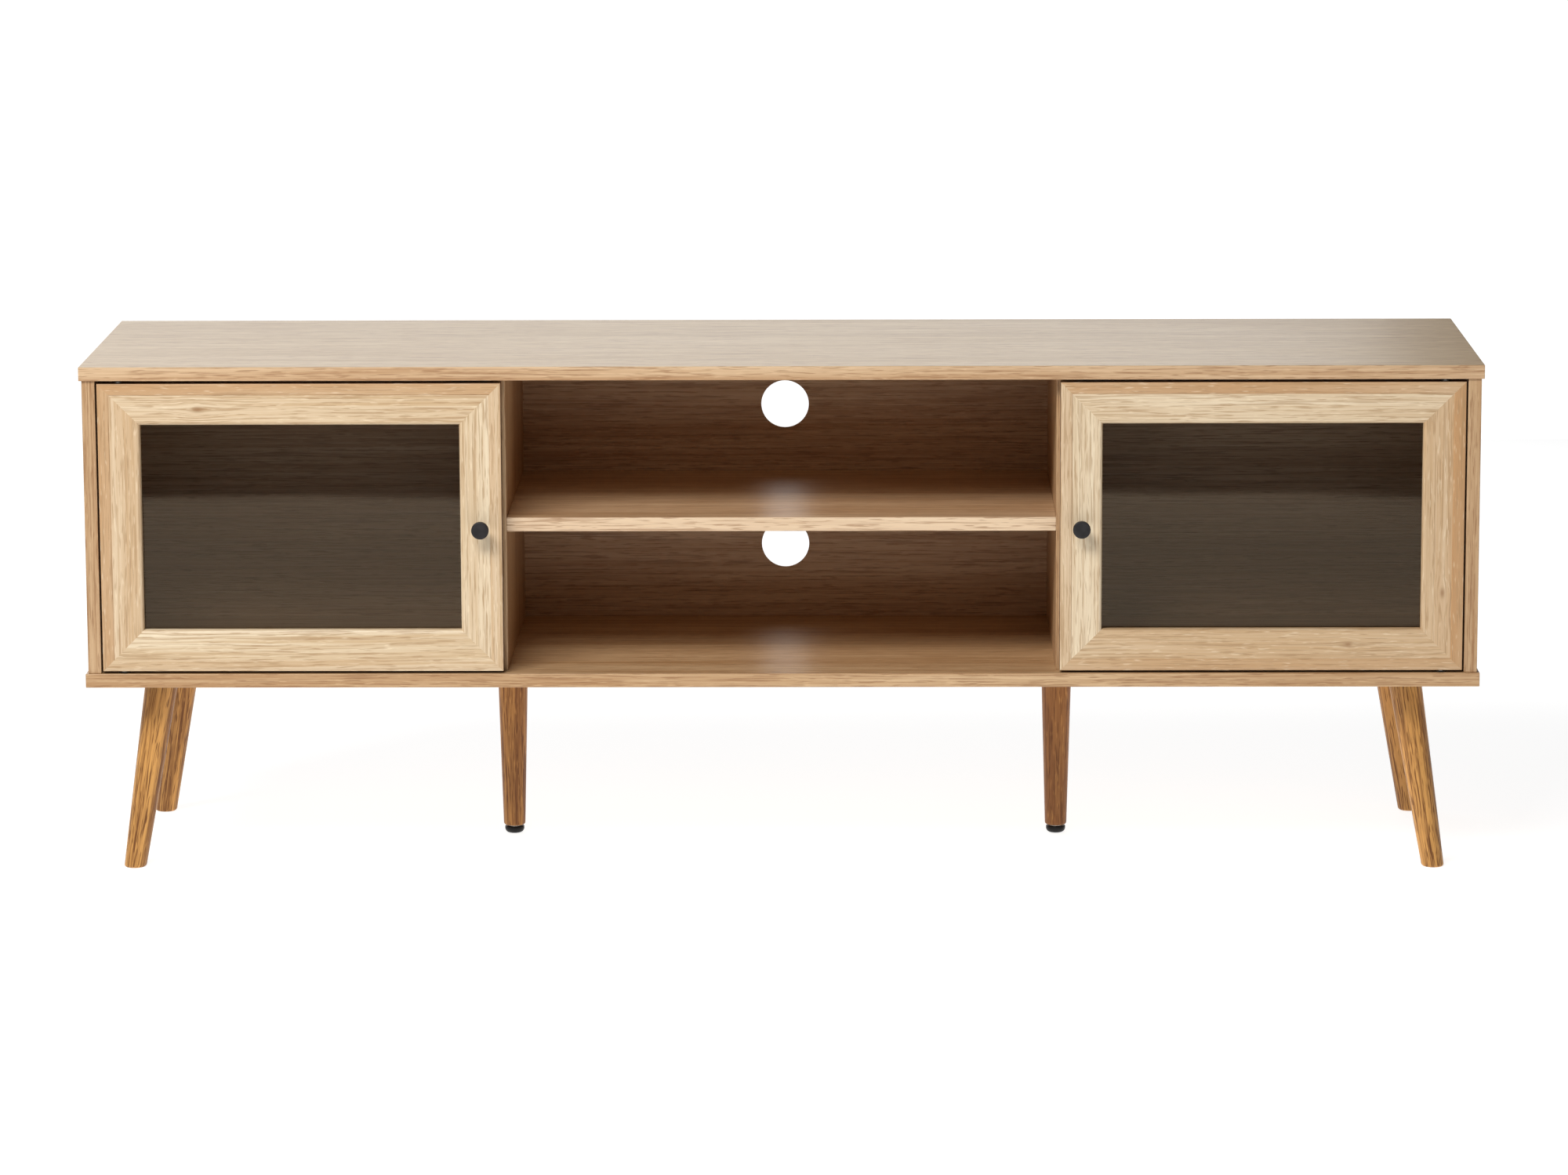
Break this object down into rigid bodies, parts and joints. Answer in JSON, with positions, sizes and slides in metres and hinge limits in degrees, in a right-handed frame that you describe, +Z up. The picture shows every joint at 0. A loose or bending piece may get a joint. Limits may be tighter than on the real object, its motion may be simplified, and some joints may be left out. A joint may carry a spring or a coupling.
{
  "type": "media cabinet",
  "caption": "Long low wooden media cabinet with glazed pivot doors at both ends, an open centre bay with a shelf, and splayed turned legs.",
  "frame": {"origin": "on the floor, under the middle of the whole footprint, door knobs included", "axes": "+X to the right along the case seen from the front, +Y from the doors to the back, +Z up"},
  "size_m": [1.6, 0.419, 0.593],
  "materials": {
    "oak_board": "satin light oak foil, grain along the board",
    "back_board": "matt light oak foil on thin fibreboard",
    "frame_oak": "satin lacquered light oak, mitred",
    "leg_oak": "satin golden oak, turned",
    "beech": "bare beech",
    "smoked_glass": "clear smoked glass, polished",
    "black_metal": "satin black powder coat",
    "black_steel": "satin black paint",
    "zinc": "bright zinc plate",
    "magnet": "dark ground ferrite",
    "black_plastic": "matt moulded plastic",
    "white_plastic": "matt moulded plastic"
  },
  "bodies": {
    "cabinet": {"top_panel": "oak_board", "bottom_panel": "oak_board", "left_side_panel": "oak_board", "right_side_panel": "oak_board", "left_divider": "oak_board", "right_divider": "oak_board", "centre_shelf": "oak_board", "left_back_panel": "back_board", "centre_back_panel": "back_board", "right_back_panel": "back_board", "cam_locks": "zinc", "cam_bolts": "zinc", "wooden_dowels": "beech", "front_left_leg": "leg_oak", "front_right_leg": "leg_oak", "rear_left_leg": "leg_oak", "rear_right_leg": "leg_oak", "left_centre_leg": "leg_oak", "right_centre_leg": "leg_oak", "corner_leg_plates": "black_steel", "centre_leg_plates": "black_steel", "hanger_bolts": "zinc", "leg_plate_screws": "zinc", "leveller_inserts": "zinc", "pivot_bushes": "black_plastic", "magnet_catch_bodies": "white_plastic", "catch_magnets": "magnet", "catch_screws": "zinc"},
    "left_door": {"left_door_bottom_rail": "frame_oak", "left_door_top_rail": "frame_oak", "left_door_hinge_stile": "frame_oak", "left_door_knob_stile": "frame_oak", "left_door_corner_splines": "beech", "left_door_glass_pane": "smoked_glass", "left_door_glazing_bead": "black_plastic", "left_door_pivot_pins": "zinc", "left_door_knob": "black_metal", "left_door_knob_screw": "zinc", "left_door_strike_plate": "zinc", "left_door_strike_screw": "zinc"},
    "left_leveller": {"left_leveller_pad": "black_plastic", "left_leveller_stud": "zinc"},
    "right_door": {"right_door_bottom_rail": "frame_oak", "right_door_top_rail": "frame_oak", "right_door_hinge_stile": "frame_oak", "right_door_knob_stile": "frame_oak", "right_door_corner_splines": "beech", "right_door_glass_pane": "smoked_glass", "right_door_glazing_bead": "black_plastic", "right_door_pivot_pins": "zinc", "right_door_knob": "black_metal", "right_door_knob_screw": "zinc", "right_door_strike_plate": "zinc", "right_door_strike_screw": "zinc"},
    "right_leveller": {"right_leveller_pad": "black_plastic", "right_leveller_stud": "zinc"}
  },
  "joints": [
    {"name": "left_door_hinge", "type": "hinge", "parent": "cabinet", "child": "left_door", "pos_m": [-0.756, -0.1795, 0.407], "axis": [0, 0, -1], "range_deg": [0, 110]},
    {"name": "right_door_hinge", "type": "hinge", "parent": "cabinet", "child": "right_door", "pos_m": [0.756, -0.1795, 0.407], "axis": [0, 0, 1], "range_deg": [0, 110]},
    {"name": "left_leveller_slide", "type": "slide", "parent": "cabinet", "child": "left_leveller", "axis": [0, 0, -1], "range_m": [0, 0.008]},
    {"name": "right_leveller_slide", "type": "slide", "parent": "cabinet", "child": "right_leveller", "axis": [0, 0, -1], "range_m": [0, 0.008]}
  ]
}
